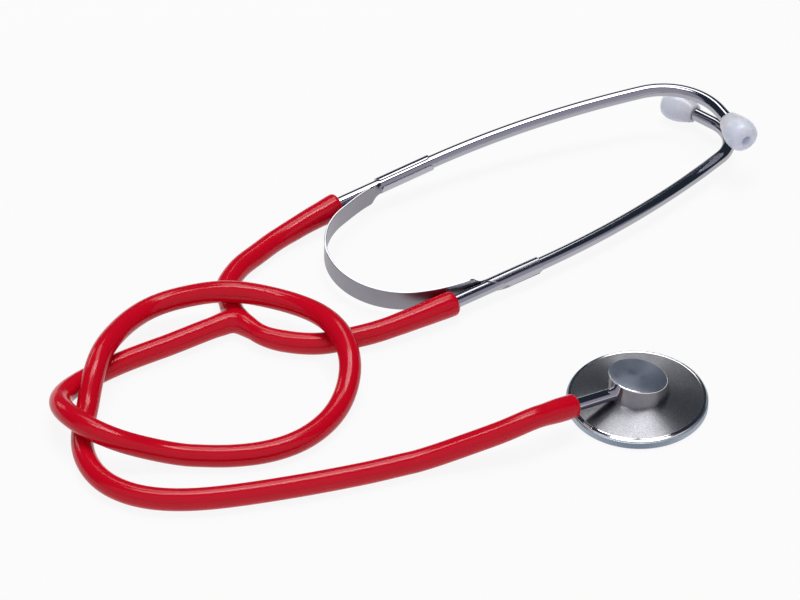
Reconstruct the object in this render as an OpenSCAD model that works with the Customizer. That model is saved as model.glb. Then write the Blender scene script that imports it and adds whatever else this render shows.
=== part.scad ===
// Nurse stethoscope with a single flat head, lying on a table with its ear tubes closed.
// Millimetres, +Z up. The origin is the middle of the head's flat underside.
// The headset lies behind the head and to its left, and the hose makes one open loop.

/* [Chest head] */
// Outer diameter of the knurled ring
ring_od = 48; // [44:0.5:52]
// Height of the knurled ring
ring_h = 2.6; // [2.4:0.1:3.2]
// Thickness of the lip that carries the diaphragm
ring_lip_h = 0.6; // [0.5:0.1:0.8]
// Width of the lip under the diaphragm
ring_lip_w = 2; // [1.5:0.1:2.5]
// Wall of the ring outside its thread
ring_wall = 1.8; // [1.5:0.1:2.2]
// Thickness of the diaphragm disc
diaphragm_t = 0.3; // [0.25:0.05:0.4]
// Height of the cylindrical rim above the ring
rim_h = 0.8; // [0.6:0.1:1.2]
// How far the rim stands inside the ring's outer wall
rim_inset = 0.5; // [0.3:0.1:0.8]
// Width of the bevel on top of the rim
rim_bevel = 0.7; // [0.4:0.1:0.8]
// Rise of the shallow cone from its edge to the boss
cone_rise = 2.3; // [2:0.1:3]
// Diameter of the boss
boss_d = 20; // [18:0.5:22]
// Height of the boss at its middle
boss_h = 6.4; // [6:0.1:8]
// Slope of the boss's flat top
boss_slant = 11.5; // [6:0.5:14]
// Depth of the dish above the diaphragm
dish_depth = 1.2; // [0.8:0.1:1.4]
// Width of the rim that presses on the diaphragm
seat_w = 2.4; // [2:0.1:3]
// Diameter of the sound bore
sound_bore_d = 3.4; // [3:0.1:3.8]

/* [Head stem] */
// Direction of the stem in plan, from +X
stem_heading = 211; // [205:1:217]
// Rise of the stem away from the head
stem_rise = 6; // [3:0.1:8]
// Height of the stem's axis above the table, on the head's axis
stem_z = 7.4; // [7.2:0.1:8]
// Outer diameter of the stem
stem_od = 4.4; // [4:0.1:4.8]
// Wall of the stem
stem_wall = 0.6; // [0.5:0.05:0.8]
// Where the stem starts, from the head's axis
stem_start = 3; // [2.5:0.1:4]
// Where the hose's end lies on the stem, from the head's axis
stem_free = 24.9; // [23:0.1:27]
// How deep the stem goes into the hose
stem_grip = 10; // [9:0.5:12]

/* [Hose] */
// Outer diameter of the hose
hose_od = 7.6; // [7:0.1:8]
// Bore of the hose
hose_bore_d = 4; // [3.4:0.1:4.2]
// Outer diameter of the hose's end on the stem
chest_cuff_od = 8.3; // [8:0.1:9]
// Length of the hose's end on the stem
chest_cuff_len = 14; // [13:0.5:16]
// Outer diameter of the hose's ends on the ear tubes
ear_cuff_od = 8.9; // [8.6:0.1:9.2]
// Length of the hose's ends on the ear tubes
ear_cuff_len = 18; // [16:0.5:20]
// Length of the taper from each end to the hose
cuff_taper = 6; // [4:0.5:8]
// Radius of the rounded mouth of each end
cuff_round = 1.4; // [0.8:0.1:1.6]

/* [Hose junction] */
// Outer diameter of the junction's arms
junction_od = 7.8; // [7.6:0.1:8]
// Diameter in plan of the rounded body where the arms meet
junction_body_d = 10.4; // [10:0.1:11]
// Height of that body
junction_body_h = 8.6; // [8.4:0.1:8.8]
// Length of each arm from the middle
junction_arm = 11; // [10:0.5:12]
// Direction of the arm to the head's hose
junction_head_heading = 211; // [207:1:215]
// Direction of the arm to the left ear tube
junction_left_heading = 105; // [101:1:109]
// Direction of the arm to the right ear tube
junction_right_heading = 317; // [313:1:321]

/* [Headset] */
// Direction of the headset's middle line in plan
headset_heading = 31.7; // [31.2:0.1:32.2]
// Distance between the ear tubes at the spring's sleeves
tube_gap = 65.1; // [64:0.1:66]
// How far the left tube lies behind the middle, and the right one before it
tube_stagger = 2.4; // [1.8:0.1:3]
// Turn of the right tube towards the left one at its sleeve
tube_toe_in = 2.5; // [2.1:0.1:2.9]
// How much less the left tube turns
tube_toe_less = 1; // [0.6:0.1:1.4]
// Outer diameter of the ear tubes
tube_od = 4.7; // [4.5:0.1:4.9]
// Wall of the ear tubes
tube_wall = 0.6; // [0.5:0.05:0.8]
// How far each tube goes into its hose, from the sleeve's datum
tube_tail = 25; // [24:0.5:27]
// Straight length of the right tube ahead of the sleeve's datum
tube_straight = 22; // [21:0.5:24]
// How much shorter the left tube's straight length is
tube_straight_less = 2; // [1.5:0.1:2.5]
// Radius of the right tube's long gentle curve
tube_long_r = 340; // [334:1:346]
// How much tighter the left tube's one is
tube_long_r_less = 26; // [22:1:30]
// Turn of the right tube's long gentle curve
tube_long_turn = 15.1; // [14.7:0.1:15.5]
// How much further the left tube's one turns
tube_long_turn_more = 0.3; // [0:0.1:0.6]
// Radius of the right tube's bend near its ear tip
tube_short_r = 14.6; // [14:0.1:15.2]
// How much wider the left tube's bend is
tube_short_r_more = 9.8; // [9:0.1:10.6]
// Turn of the right tube's bend near its ear tip
tube_short_turn = 89; // [87:0.5:91]
// How much less the left tube's bend turns
tube_short_turn_less = 11.5; // [10:0.5:13]
// Straight end of the left tube up to its ear tip
tube_end = 5.4; // [5:0.1:6]
// How much longer the right tube's straight end is
tube_end_more = 3.1; // [2.6:0.1:3.6]
// Where the right hose's mouth lies, behind the sleeve's datum
cuff_mouth = 12.1; // [11.6:0.1:12.6]
// How much further back the left hose's mouth lies
cuff_mouth_more = 2.2; // [1.8:0.1:2.6]

/* [Leaf spring] */
// Height of the spring band
band_h = 7.8; // [7.4:0.1:8]
// Thickness of the spring's sheet
band_t = 0.7; // [0.5:0.05:0.75]
// How far the round crown keeps inside the ear tubes' lines
crown_inset = 5.3; // [4.8:0.1:6]
// How far the crown lies towards the right tube
crown_shift = 0.5; // [0:0.1:0.8]
// Half the angle that the crown covers
crown_half_turn = 80; // [76:1:82]
// Distance from the headset's middle back to the crown
crown_reach = 37.6; // [36.5:0.1:38.5]
// Length of the neck between the band and a sleeve
neck_len = 4; // [3:0.1:5]
// Length of each rolled sleeve
sleeve_len = 21.5; // [20:0.5:22]
// Wall of the rolled sleeves
sleeve_wall = 0.55; // [0.45:0.05:0.65]
// Start of the sleeve ahead of the datum
sleeve_start = 2; // [1.6:0.1:2.4]

/* [Ear tips] */
// Length of an ear tip
tip_len = 13.2; // [12.8:0.1:14]
// Largest diameter of an ear tip
tip_od = 11.7; // [11.3:0.1:12.1]
// Diameter of an ear tip at the tube
tip_neck_d = 7; // [6.6:0.1:7.4]
// Diameter of the flat front
tip_front_d = 6.4; // [5.8:0.1:7]
// Distance from the neck to the widest place
tip_belly_at = 9.2; // [8.6:0.1:9.8]
// Diameter of the sound hole
tip_hole_d = 3.3; // [2.8:0.1:3.6]
// How deep the tube goes into the tip
tip_grip = 7; // [6:0.5:8]

/* [Hidden] */
$fn = 64;

// Clearances
thread_play = 0.08;      // between the head's thread and the ring's, radial
seat_play = 0.05;        // above the diaphragm and above the ring
turn_play = 0.04;        // around an ear tube in its sleeve and hose, radial
neck_play = 0.1;         // between the spring's neck and the ear tube
face_gap = [0.15, 0.35]; // between the spring's neck and its sleeve, right and left
cut = 1;                 // how far a cutting shape runs past the wall
bore_over = 1.3;         // how far the sound bore runs above the stem's axis
bore_round = [0.7, 0.6]; // how much wider and higher the bores' meeting in the junction is than a bore
seat_step = 0.2;         // depth of the straight edge around the dish
ring_edge = [0.3, 0.25]; // chamfers of the ring, at the bottom and the top
band_step = 0.1;         // how much thinner and lower a spring's leg is than the crown
tip_edge = 0.4;          // chamfer of an ear tip at the tube
tip_mouth = [0.5, 0.8];  // width and depth of the sound hole's flare
bend_bury = 0.6;         // how far a bend runs into the straight pipe at its end
bend_step = 0.03;        // how much thinner a bend's wall is on each side
bend_link = 1.7;         // straight pipe between the two bends

LEFT = 1;
RIGHT = -1;
function of_side(side, left, right) = side == LEFT ? left : right;

// Head
ring_r = ring_od / 2;
thread_r = ring_r - ring_wall;
spigot_r = thread_r - thread_play;
seat_z = ring_lip_h + diaphragm_t + seat_play;
rim_z = ring_h + seat_play;
rim_r = ring_r - rim_inset;
cone_r = rim_r - rim_bevel;
cone_z = rim_z + rim_h;
boss_r = boss_d / 2;
boss_z = cone_z + cone_rise;
cone_slope = cone_rise / (cone_r - boss_r);

// Places where hoses end
chest_cuff_taper = 4;
stem_dir = [cos(stem_heading) * cos(stem_rise), sin(stem_heading) * cos(stem_rise), sin(stem_rise)];
stem_root = [0, 0, stem_z];
chest_cuff_end = stem_root + (stem_free / cos(stem_rise) + chest_cuff_len) * stem_dir;

junction_at = [-136.4, 39, junction_body_h / 2];
function heading_dir(heading) = [cos(heading), sin(heading), 0];
function junction_end(heading) = junction_at + junction_arm * heading_dir(heading);

// Headset: the datum of each arm is a point on the tube's axis just behind the sleeve
headset_at = [-70.3, 80.5, 0];
datum_z = [5.1, 8.1];          // right, left: the left tube lies over the right one
rise = [0.7, 6.1];
roll = [-0.8, -2.4];
toe_in = [tube_toe_in, tube_toe_in - tube_toe_less];
straight = [tube_straight, tube_straight - tube_straight_less];
long_r = [tube_long_r, tube_long_r - tube_long_r_less];
long_turn = [tube_long_turn, tube_long_turn + tube_long_turn_more];
short_r = [tube_short_r, tube_short_r + tube_short_r_more];
bend_turn = [tube_short_turn, tube_short_turn - tube_short_turn_less];
end_len = [tube_end + tube_end_more, tube_end];
slot_at = [212, 52];           // the sleeve's open seam, from the inner side upwards
slot_width = [16, 57];
neck_cut_low = [1.3, 3];       // shoulder below the neck
neck_cut_top = [2.3, 0.6];     // shoulder above the neck
function pick(pair, side) = of_side(side, pair[1], pair[0]);

function arm_heading(side) = headset_heading - side * pick(toe_in, side);
function arm_dir(side) =
    [
        cos(arm_heading(side)) * cos(pick(rise, side)),
        sin(arm_heading(side)) * cos(pick(rise, side)),
        sin(pick(rise, side))
    ];
function in_plan(u, w) =
    [
        u * cos(headset_heading) - w * sin(headset_heading),
        u * sin(headset_heading) + w * cos(headset_heading),
        0
    ];
function arm_datum(side) =
    headset_at + in_plan(-side * tube_stagger, side * tube_gap / 2) + [0, 0, pick(datum_z, side)];
function mouth_at(side) = cuff_mouth + of_side(side, cuff_mouth_more, 0);
function ear_cuff_end(side) = arm_datum(side) - (mouth_at(side) + ear_cuff_len) * arm_dir(side);

// Routes of the hoses, over round points set by eye
chest_points = [
    [-160, 25.1, 3.8], [-172, 18.1, 3.8], [-182, 11, 3.8], [-189.3, 3.5, 4.8],
    [-193.6, -7, 7.6], [-191, -17.5, 11], [-183.5, -26, 12], [-173.5, -30.5, 10.2],
    [-163, -30.6, 6.4], [-150, -31, 3.8], [-137, -31.4, 3.8], [-124.5, -29.3, 3.8],
    [-113, -23.5, 3.8], [-104, -13.5, 3.8], [-98.5, -1.5, 5.2], [-96.8, 9.5, 9.2],
    [-99.5, 20.5, 11.9], [-105.5, 30.5, 11.8], [-114, 38.2, 10.8], [-125, 43, 10.8],
    [-139, 44.4, 12.1], [-152, 44.2, 10.4], [-163, 40.8, 9.2], [-171, 33, 9.8],
    [-176.8, 22.5, 11.2], [-181, 11, 11.9], [-183.3, 1, 9.3], [-184.8, -9, 5],
    [-185.8, -19, 3.8], [-184.5, -31, 3.8], [-177.5, -43.8, 3.8], [-166.5, -50.8, 3.8],
    [-152, -53, 3.8], [-133, -50.7, 3.8], [-110, -45.3, 3.8], [-90, -39.5, 3.8],
    [-73, -33.6, 4], [-57, -29.2, 7.3], [-43, -25, 10.6]
];
left_points = [
    [-140.2, 55.8, 3.8], [-138.5, 62, 3.8], [-135.1, 68.6, 3.8],
    [-130.4, 74.5, 3.8], [-124.6, 81.4, 3.9]
];
right_points = [
    [-121, 28.2, 3.8], [-114, 26.7, 3.8], [-106, 26.7, 3.8],
    [-98, 28.7, 4], [-88, 32.2, 4.3]
];
hose_sides = 12;

function unit(v) = v / norm(v);
function mix_dir(route, i) = unit(unit(route[i + 1] - route[i]) + unit(route[i] - route[i - 1]));
function ring_points(at, along, r, sides) =
    let(across = unit(cross([0, 0, 1], along)), up = cross(along, across))
    [for (k = [0 : sides - 1]) at + r * (cos(360 * k / sides) * across + sin(360 * k / sides) * up)];

// A round tube along a route, with square ends that face the given directions
module swept_tube(route, first_dir, last_dir, r) {
    n = len(route);
    dirs = [for (i = [0 : n - 1])
        i == 0 ? first_dir : i == n - 1 ? last_dir : mix_dir(route, i)];
    points = [for (i = [0 : n - 1]) each ring_points(route[i], dirs[i], r, hose_sides)];
    start_cap = [for (k = [1 : hose_sides - 2]) [0, k + 1, k]];
    far = (n - 1) * hose_sides;
    end_cap = [for (k = [1 : hose_sides - 2]) [far, far + k, far + k + 1]];
    wall = [for (i = [0 : n - 2], k = [0 : hose_sides - 1])
        let(a = i * hose_sides + k, b = i * hose_sides + (k + 1) % hose_sides)
        each [[a, b, b + hose_sides], [a, b + hose_sides, a + hose_sides]]];
    polyhedron(points = points, faces = concat(start_cap, end_cap, wall), convexity = 10);
}

// Turn children so that their +Z runs along +X
module along_x() {
    rotate([0, 90, 0]) children();
}

module tube_x(length, r) {
    along_x() cylinder(h = length, r = r);
}

// A length of pipe along +X
module pipe_x(length, r, bore_r) {
    along_x()
        linear_extrude(height = length)
            difference() {
                circle(r = r);
                circle(r = bore_r);
            }
}

// A bent pipe that starts at the origin along +X and turns towards +Y.
// Its wall is a hair thinner than the straight pipes', and it runs into theirs at both ends.
module pipe_bend(bend_r, turn, r, bore_r) {
    bury = bend_bury / bend_r * 180 / PI;
    translate([0, bend_r, 0])
        rotate([0, 0, -90 - bury])
            rotate_extrude(angle = turn + 2 * bury)
                translate([bend_r, 0])
                    difference() {
                        circle(r = r - bend_step);
                        circle(r = bore_r + bend_step);
                    }
}

// Move children to the end of such a bend
module after_bend(bend_r, turn) {
    translate([bend_r * sin(turn), bend_r * (1 - cos(turn)), 0])
        rotate([0, 0, turn]) children();
}

module in_headset() {
    translate(headset_at) rotate([0, 0, headset_heading]) children();
}

// +X runs along the ear tube, +Y points to the other tube
module on_arm(side) {
    in_headset()
        translate([-side * tube_stagger, side * tube_gap / 2, pick(datum_z, side)])
            mirror([0, side == LEFT ? 1 : 0, 0])
                rotate([0, 0, pick(toe_in, side)])
                    rotate([0, -pick(rise, side), 0])
                        rotate([pick(roll, side), 0, 0]) children();
}

module at_tube_end(side) {
    translate([pick(straight, side), 0, 0])
        after_bend(pick(long_r, side), pick(long_turn, side))
            translate([bend_link, 0, 0])
                after_bend(pick(short_r, side), pick(bend_turn, side))
                    translate([pick(end_len, side), 0, 0]) children();
}

// Chest head

module head_outline() {
    difference() {
        union() {
            translate([0, seat_z]) square([spigot_r, rim_z - seat_z]);
            translate([0, rim_z]) square([rim_r, rim_h - rim_bevel / 2]);
            polygon([
                [0, rim_z], [rim_r, rim_z + rim_h - rim_bevel / 2], [cone_r, cone_z],
                [boss_r - cut, boss_z + cut * cone_slope], [0, boss_z + cut * cone_slope]
            ]);
        }
        polygon([
            [0, seat_z - cut], [spigot_r - seat_w, seat_z - cut], [spigot_r - seat_w, seat_z + seat_step],
            [sound_bore_d / 2, seat_z + dish_depth], [0, seat_z + dish_depth]
        ]);
    }
}

// The boss is a cylinder whose flat top slopes down, away from the stem
module boss() {
    base_z = cone_z - cut / 2;
    difference() {
        translate([0, 0, base_z])
            cylinder(h = boss_z + boss_h + boss_r * tan(boss_slant) + cut - base_z, r = boss_r);
        translate([0, 0, boss_z + boss_h])
            rotate([0, 0, stem_heading])
                rotate([0, -boss_slant, 0])
                    translate([-2 * boss_r, -2 * boss_r, 0]) cube([4 * boss_r, 4 * boss_r, boss_h * 2]);
    }
}

module along_stem() {
    translate(stem_root) rotate([0, 0, stem_heading]) rotate([0, -stem_rise, 0]) children();
}

module head_body() {
    color("#b9bcc2")
        difference() {
            union() {
                rotate_extrude() head_outline();
                boss();
            }
            translate([0, 0, seat_z]) cylinder(h = stem_z + bore_over - seat_z, r = sound_bore_d / 2);
            along_stem() tube_x(stem_start + cut, stem_od / 2 - stem_wall);
            along_stem() translate([stem_start, 0, 0]) tube_x(boss_r + cut, stem_od / 2);
        }
}

module diaphragm() {
    color("#d9dad6")
        translate([0, 0, ring_lip_h]) cylinder(h = diaphragm_t, r = spigot_r - thread_play);
}

module diaphragm_ring() {
    color("#8d95a3")
        difference() {
            rotate_extrude()
                polygon([
                    [thread_r - ring_lip_w, 0], [ring_r - ring_edge[0], 0], [ring_r, ring_edge[0]],
                    [ring_r, ring_h - ring_edge[1]], [ring_r - ring_edge[1], ring_h],
                    [thread_r, ring_h], [thread_r, ring_lip_h], [thread_r - ring_lip_w, ring_lip_h]
                ]);
        }
}

module chest_stem() {
    color("#d5d8dc")
        along_stem()
            translate([stem_start, 0, 0])
                difference() {
                    tube_x(stem_free / cos(stem_rise) - stem_start + stem_grip, stem_od / 2);
                    translate([-cut, 0, 0])
                        tube_x(stem_free + stem_grip + 2 * cut, stem_od / 2 - stem_wall);
                }
}

// Hose ends: a moulded sleeve with a rounded mouth at the origin, running back along -X.
// grip is how far the metal tube goes in, and grip_r is its outer radius.
module hose_cuff(length, mouth_r, taper, grip, grip_r) {
    rotate([0, -90, 0])
        rotate_extrude()
            difference() {
                union() {
                    translate([0, cuff_round]) square([mouth_r, length - taper - cuff_round]);
                    square([mouth_r - cuff_round, length]);
                    translate([mouth_r - cuff_round, cuff_round]) circle(r = cuff_round);
                    polygon([
                        [0, length - taper], [mouth_r, length - taper],
                        [hose_od / 2, length], [0, length]
                    ]);
                }
                translate([0, -cut]) square([grip_r, grip + cut]);
                translate([0, -cut]) square([hose_bore_d / 2, length + 2 * cut]);
                translate([-2 * mouth_r, -2 * cut]) square([2 * mouth_r, length + 4 * cut]);
            }
}

module chest_hose_cuff() {
    color("#c4122a")
        along_stem()
            translate([stem_free / cos(stem_rise), 0, 0])
                rotate([0, 0, 180])
                    hose_cuff(chest_cuff_len, chest_cuff_od / 2, chest_cuff_taper, stem_grip, stem_od / 2);
}

module ear_hose_cuff(side) {
    color("#c4122a")
        on_arm(side)
            translate([-mouth_at(side), 0, 0])
                hose_cuff(
                    ear_cuff_len, ear_cuff_od / 2, cuff_taper,
                    tube_tail - mouth_at(side), tube_od / 2 + turn_play
                );
}

module left_hose_cuff() {
    ear_hose_cuff(LEFT);
}

module right_hose_cuff() {
    ear_hose_cuff(RIGHT);
}

module junction_shape(r, body_r, body_h, reach) {
    steps = 8;
    translate(junction_at) {
        rotate_extrude()
            polygon([
                for (i = [-steps : steps])
                    [body_r * cos(90 * i / steps), body_h / 2 * sin(90 * i / steps)]
            ]);
        for (heading = [junction_head_heading, junction_left_heading, junction_right_heading])
            rotate([0, 0, heading]) tube_x(reach, r);
    }
}

module hose_junction() {
    color("#c4122a")
        difference() {
            junction_shape(junction_od / 2, junction_body_d / 2, junction_body_h, junction_arm);
            junction_shape(
                hose_bore_d / 2, hose_bore_d / 2 + bore_round[0], hose_bore_d + bore_round[1],
                junction_arm + cut
            );
        }
}

module chest_hose() {
    color("#c4122a")
        swept_tube(
            concat([junction_end(junction_head_heading)], chest_points, [chest_cuff_end]),
            heading_dir(junction_head_heading), -stem_dir, hose_od / 2
        );
}

module branch_hose(side, heading, points) {
    color("#c4122a")
        swept_tube(
            concat([junction_end(heading)], points, [ear_cuff_end(side)]),
            heading_dir(heading), arm_dir(side), hose_od / 2
        );
}

module left_branch_hose() {
    branch_hose(LEFT, junction_left_heading, left_points);
}

module right_branch_hose() {
    branch_hose(RIGHT, junction_right_heading, right_points);
}

// Leaf spring, made of one sheet: a band on edge with a rolled sleeve at each end.
// The band tilts with the two tubes' heights.
sleeve_r = tube_od / 2 + turn_play + sleeve_wall;
band_tilt = atan((datum_z[1] - datum_z[0]) / tube_gap);
band_z = (datum_z[0] + datum_z[1]) / 2;
crown_r = tube_gap / 2 - crown_inset;
crown_u = crown_r - crown_reach;
leg_u = crown_u - crown_r * cos(crown_half_turn);
function leg_w(side) = crown_r * sin(crown_half_turn) - side * crown_shift;
function leg_end_u(side) = -side * tube_stagger + sleeve_start - pick(face_gap, side);
function leg_end_w(side) =
    tube_gap / 2 - sleeve_start * sin(pick(toe_in, side)) - tube_od / 2 - turn_play - neck_play - band_t / 2;
function leg_len(side) = norm([leg_end_u(side) - leg_u, leg_end_w(side) - leg_w(side)]);
function leg_turn(side) = atan2(leg_end_w(side) - leg_w(side), leg_end_u(side) - leg_u);

// One edge of a leg, from the crown to the sleeve, with its hollow shoulder; depth is the cut's
function leg_edge(length, depth, half_h, up) =
    concat(
        [[-cut, up * half_h]],
        [for (a = [0 : 15 : 90])
            [length - neck_len + depth * (1 - cos(a)), up * (half_h - depth * sin(a))]],
        [[length, up * (half_h - depth)]]
    );
function reversed(list) = [for (i = [len(list) - 1 : -1 : 0]) list[i]];

// A leg is a hair thinner and lower than the crown, so that it can start inside it
module spring_leg(side) {
    t = band_t - band_step;
    half_h = (band_h - band_step) / 2;
    translate([0, t / 2, 0])
        rotate([90, 0, 0])
            linear_extrude(height = t)
                polygon(concat(
                    leg_edge(leg_len(side), pick(neck_cut_low, side), half_h, -1),
                    reversed(leg_edge(leg_len(side), pick(neck_cut_top, side), half_h, 1))
                ));
}

module spring_band() {
    color("#8f8b93")
        in_headset()
            translate([0, 0, band_z])
                rotate([band_tilt, 0, 0]) {
                    translate([crown_u, -crown_shift, 0])
                        rotate([0, 0, 180 - crown_half_turn])
                            rotate_extrude(angle = 2 * crown_half_turn)
                                translate([crown_r - band_t / 2, -band_h / 2]) square([band_t, band_h]);
                    for (side = [LEFT, RIGHT])
                        mirror([0, side == LEFT ? 0 : 1, 0])
                            translate([leg_u, leg_w(side), 0])
                                rotate([0, 0, leg_turn(side)]) spring_leg(side);
                }
}

module spring_sleeve(side) {
    color("#a8a9b0")
        on_arm(side)
            translate([sleeve_start, 0, 0])
                difference() {
                    tube_x(sleeve_len, sleeve_r);
                    translate([-cut, 0, 0]) tube_x(sleeve_len + 2 * cut, tube_od / 2 + turn_play);
                    rotate([pick(slot_at, side) - pick(slot_width, side) / 2, 0, 0])
                        translate([-cut, 0, 0])
                            rotate([90, 0, 90])
                                linear_extrude(height = sleeve_len + 2 * cut)
                                    polygon([
                                        [0, 0],
                                        [2 * sleeve_r, 0],
                                        2 * sleeve_r * [cos(pick(slot_width, side)), sin(pick(slot_width, side))]
                                    ]);
                }
}

module left_spring_sleeve() {
    spring_sleeve(LEFT);
}

module right_spring_sleeve() {
    spring_sleeve(RIGHT);
}

// Ear tubes

module ear_tube(side) {
    r = tube_od / 2;
    bore_r = r - tube_wall;
    color("#d5d8dc")
        on_arm(side) {
            translate([-tube_tail, 0, 0]) pipe_x(tube_tail + pick(straight, side), r, bore_r);
            translate([pick(straight, side), 0, 0]) {
                pipe_bend(pick(long_r, side), pick(long_turn, side), r, bore_r);
                after_bend(pick(long_r, side), pick(long_turn, side)) {
                    pipe_x(bend_link, r, bore_r);
                    translate([bend_link, 0, 0]) {
                        pipe_bend(pick(short_r, side), pick(bend_turn, side), r, bore_r);
                        after_bend(pick(short_r, side), pick(bend_turn, side))
                            pipe_x(pick(end_len, side) + tip_grip, r, bore_r);
                    }
                }
            }
        }
}

module left_ear_tube() {
    ear_tube(LEFT);
}

module right_ear_tube() {
    ear_tube(RIGHT);
}

// Ear tips: turned about the tube's end, with the neck at the origin and the front at +X
tip_steps = 8;
function tip_radius_back(t) =
    tip_neck_d / 2 + (tip_od - tip_neck_d) / 2 * sin(90 * t);
function tip_radius_front(t) =
    tip_front_d / 2 + (tip_od - tip_front_d) / 2 * sqrt(1 - t * t);
tip_outline = concat(
    [[tip_neck_d / 2 - tip_edge, 0]],
    [for (i = [0 : tip_steps]) [tip_radius_back(i / tip_steps), tip_edge + (tip_belly_at - tip_edge) * i / tip_steps]],
    [for (i = [1 : tip_steps])
        let(t = sin(90 * i / tip_steps))
        [tip_radius_front(t), tip_belly_at + (tip_len - tip_belly_at) * t]]
);

module ear_tip(side) {
    socket_r = tube_od / 2 + turn_play;
    hole_r = tip_hole_d / 2;
    color("#dfe6f2")
        on_arm(side) at_tube_end(side)
            along_x()
                rotate_extrude()
                    polygon(concat(
                        [[socket_r, 0]],
                        tip_outline,
                        [
                            [hole_r + tip_mouth[0], tip_len], [hole_r, tip_len - tip_mouth[1]],
                            [hole_r, tip_grip + seat_play], [socket_r, tip_grip + seat_play]
                        ]
                    ));
}

module left_ear_tip() {
    ear_tip(LEFT);
}

module right_ear_tip() {
    ear_tip(RIGHT);
}

head_body();
diaphragm();
diaphragm_ring();
chest_stem();
chest_hose();
chest_hose_cuff();
hose_junction();
left_branch_hose();
right_branch_hose();
left_hose_cuff();
right_hose_cuff();
spring_band();
left_spring_sleeve();
right_spring_sleeve();
left_ear_tube();
right_ear_tube();
left_ear_tip();
right_ear_tip();
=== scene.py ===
"""Nurse stethoscope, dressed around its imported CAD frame.

The instrument lies on a pale table: a flat single head on the right, a red
moulded hose in one open loop, and a sprung headset with white ear tips.
Everything is in metres in the frame of the CAD model. Sizes are written in
millimetres and turned into metres where a mesh is made.
"""

from __future__ import annotations

import logging
import math
from dataclasses import dataclass, field
from enum import Enum

import bmesh
import bpy
import numpy as np
from mathutils import Matrix, Vector


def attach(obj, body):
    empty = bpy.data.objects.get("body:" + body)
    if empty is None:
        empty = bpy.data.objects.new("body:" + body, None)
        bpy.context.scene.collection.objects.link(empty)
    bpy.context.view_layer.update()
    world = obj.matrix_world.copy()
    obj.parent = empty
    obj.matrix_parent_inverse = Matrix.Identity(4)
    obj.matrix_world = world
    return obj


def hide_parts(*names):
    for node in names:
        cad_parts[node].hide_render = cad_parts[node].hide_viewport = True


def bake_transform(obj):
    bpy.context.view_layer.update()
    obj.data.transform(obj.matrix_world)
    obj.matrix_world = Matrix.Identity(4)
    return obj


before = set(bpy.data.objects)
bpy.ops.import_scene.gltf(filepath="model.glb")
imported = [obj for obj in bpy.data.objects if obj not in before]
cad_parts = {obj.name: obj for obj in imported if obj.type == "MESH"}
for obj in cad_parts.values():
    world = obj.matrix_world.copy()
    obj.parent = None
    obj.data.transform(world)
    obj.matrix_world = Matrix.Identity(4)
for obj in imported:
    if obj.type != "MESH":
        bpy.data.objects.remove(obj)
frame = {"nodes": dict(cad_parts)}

LOG = logging.getLogger("stethoscope")
MM = 0.001
ROOT_BODY = "hose_and_head"
WHITE = (1.0, 1.0, 1.0, 1.0)
NOISE_RANGE = (0.3, 0.7)
QUARTER_TURN = 0.25
TUBE_SIDES = 48

Array = np.ndarray
Node = bpy.types.Node
Piece = bpy.types.Object
Socket = bpy.types.NodeSocket


class Side(Enum):
    """The wearer's side of the headset."""

    LEFT = 1
    RIGHT = -1

    @property
    def word(self) -> str:
        """The side's name in bodies, nodes and pieces."""
        return self.name.lower()


# Small geometry


def unit(vector: Array) -> Array:
    """Scales a vector to length one."""
    vector = np.asarray(vector, float)
    return vector / np.linalg.norm(vector)


def smooth_step(value: Array, low: float, high: float) -> Array:
    """Runs from 0 at low to 1 at high with level ends."""
    t = np.clip((np.asarray(value, float) - low) / (high - low), 0, 1)
    return t * t * (3 - 2 * t)


def heading(degrees: float, rise: float = 0.0) -> Array:
    """Gives the direction of a compass angle from +X, rising by some degrees."""
    turn, lift = math.radians(degrees), math.radians(rise)
    return np.array(
        [math.cos(turn) * math.cos(lift), math.sin(turn) * math.cos(lift), math.sin(lift)]
    )


def moved(points: Array, matrix: Matrix) -> Array:
    """Applies a 4 by 4 matrix in millimetres to points of any grid shape."""
    m = np.array(matrix, float)
    return np.asarray(points, float) @ m[:3, :3].T + m[:3, 3]


def runs_along(points: Array) -> Array:
    """Measures how far along a line each of its points lies."""
    steps = np.linalg.norm(np.diff(points, axis=0), axis=1)
    return np.concatenate([[0], np.cumsum(steps)])


def round_angles(count: int) -> Array:
    """Spaces angles evenly round a full turn, in radians."""
    return np.linspace(0, 2 * math.pi, count, endpoint=False)


def lip_arc(lip: float, outer: float) -> list:
    """Gives a hose mouth's rounded lip as distances behind the mouth and radii."""
    return [
        (lip - lip * math.cos(a), outer - lip + lip * math.sin(a))
        for a in np.radians(np.arange(0, 91, 10))
    ]


def spin(degrees: float, axis: str) -> Matrix:
    """Gives a turn about one of the main axes."""
    return Matrix.Rotation(math.radians(degrees), 4, axis)


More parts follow.
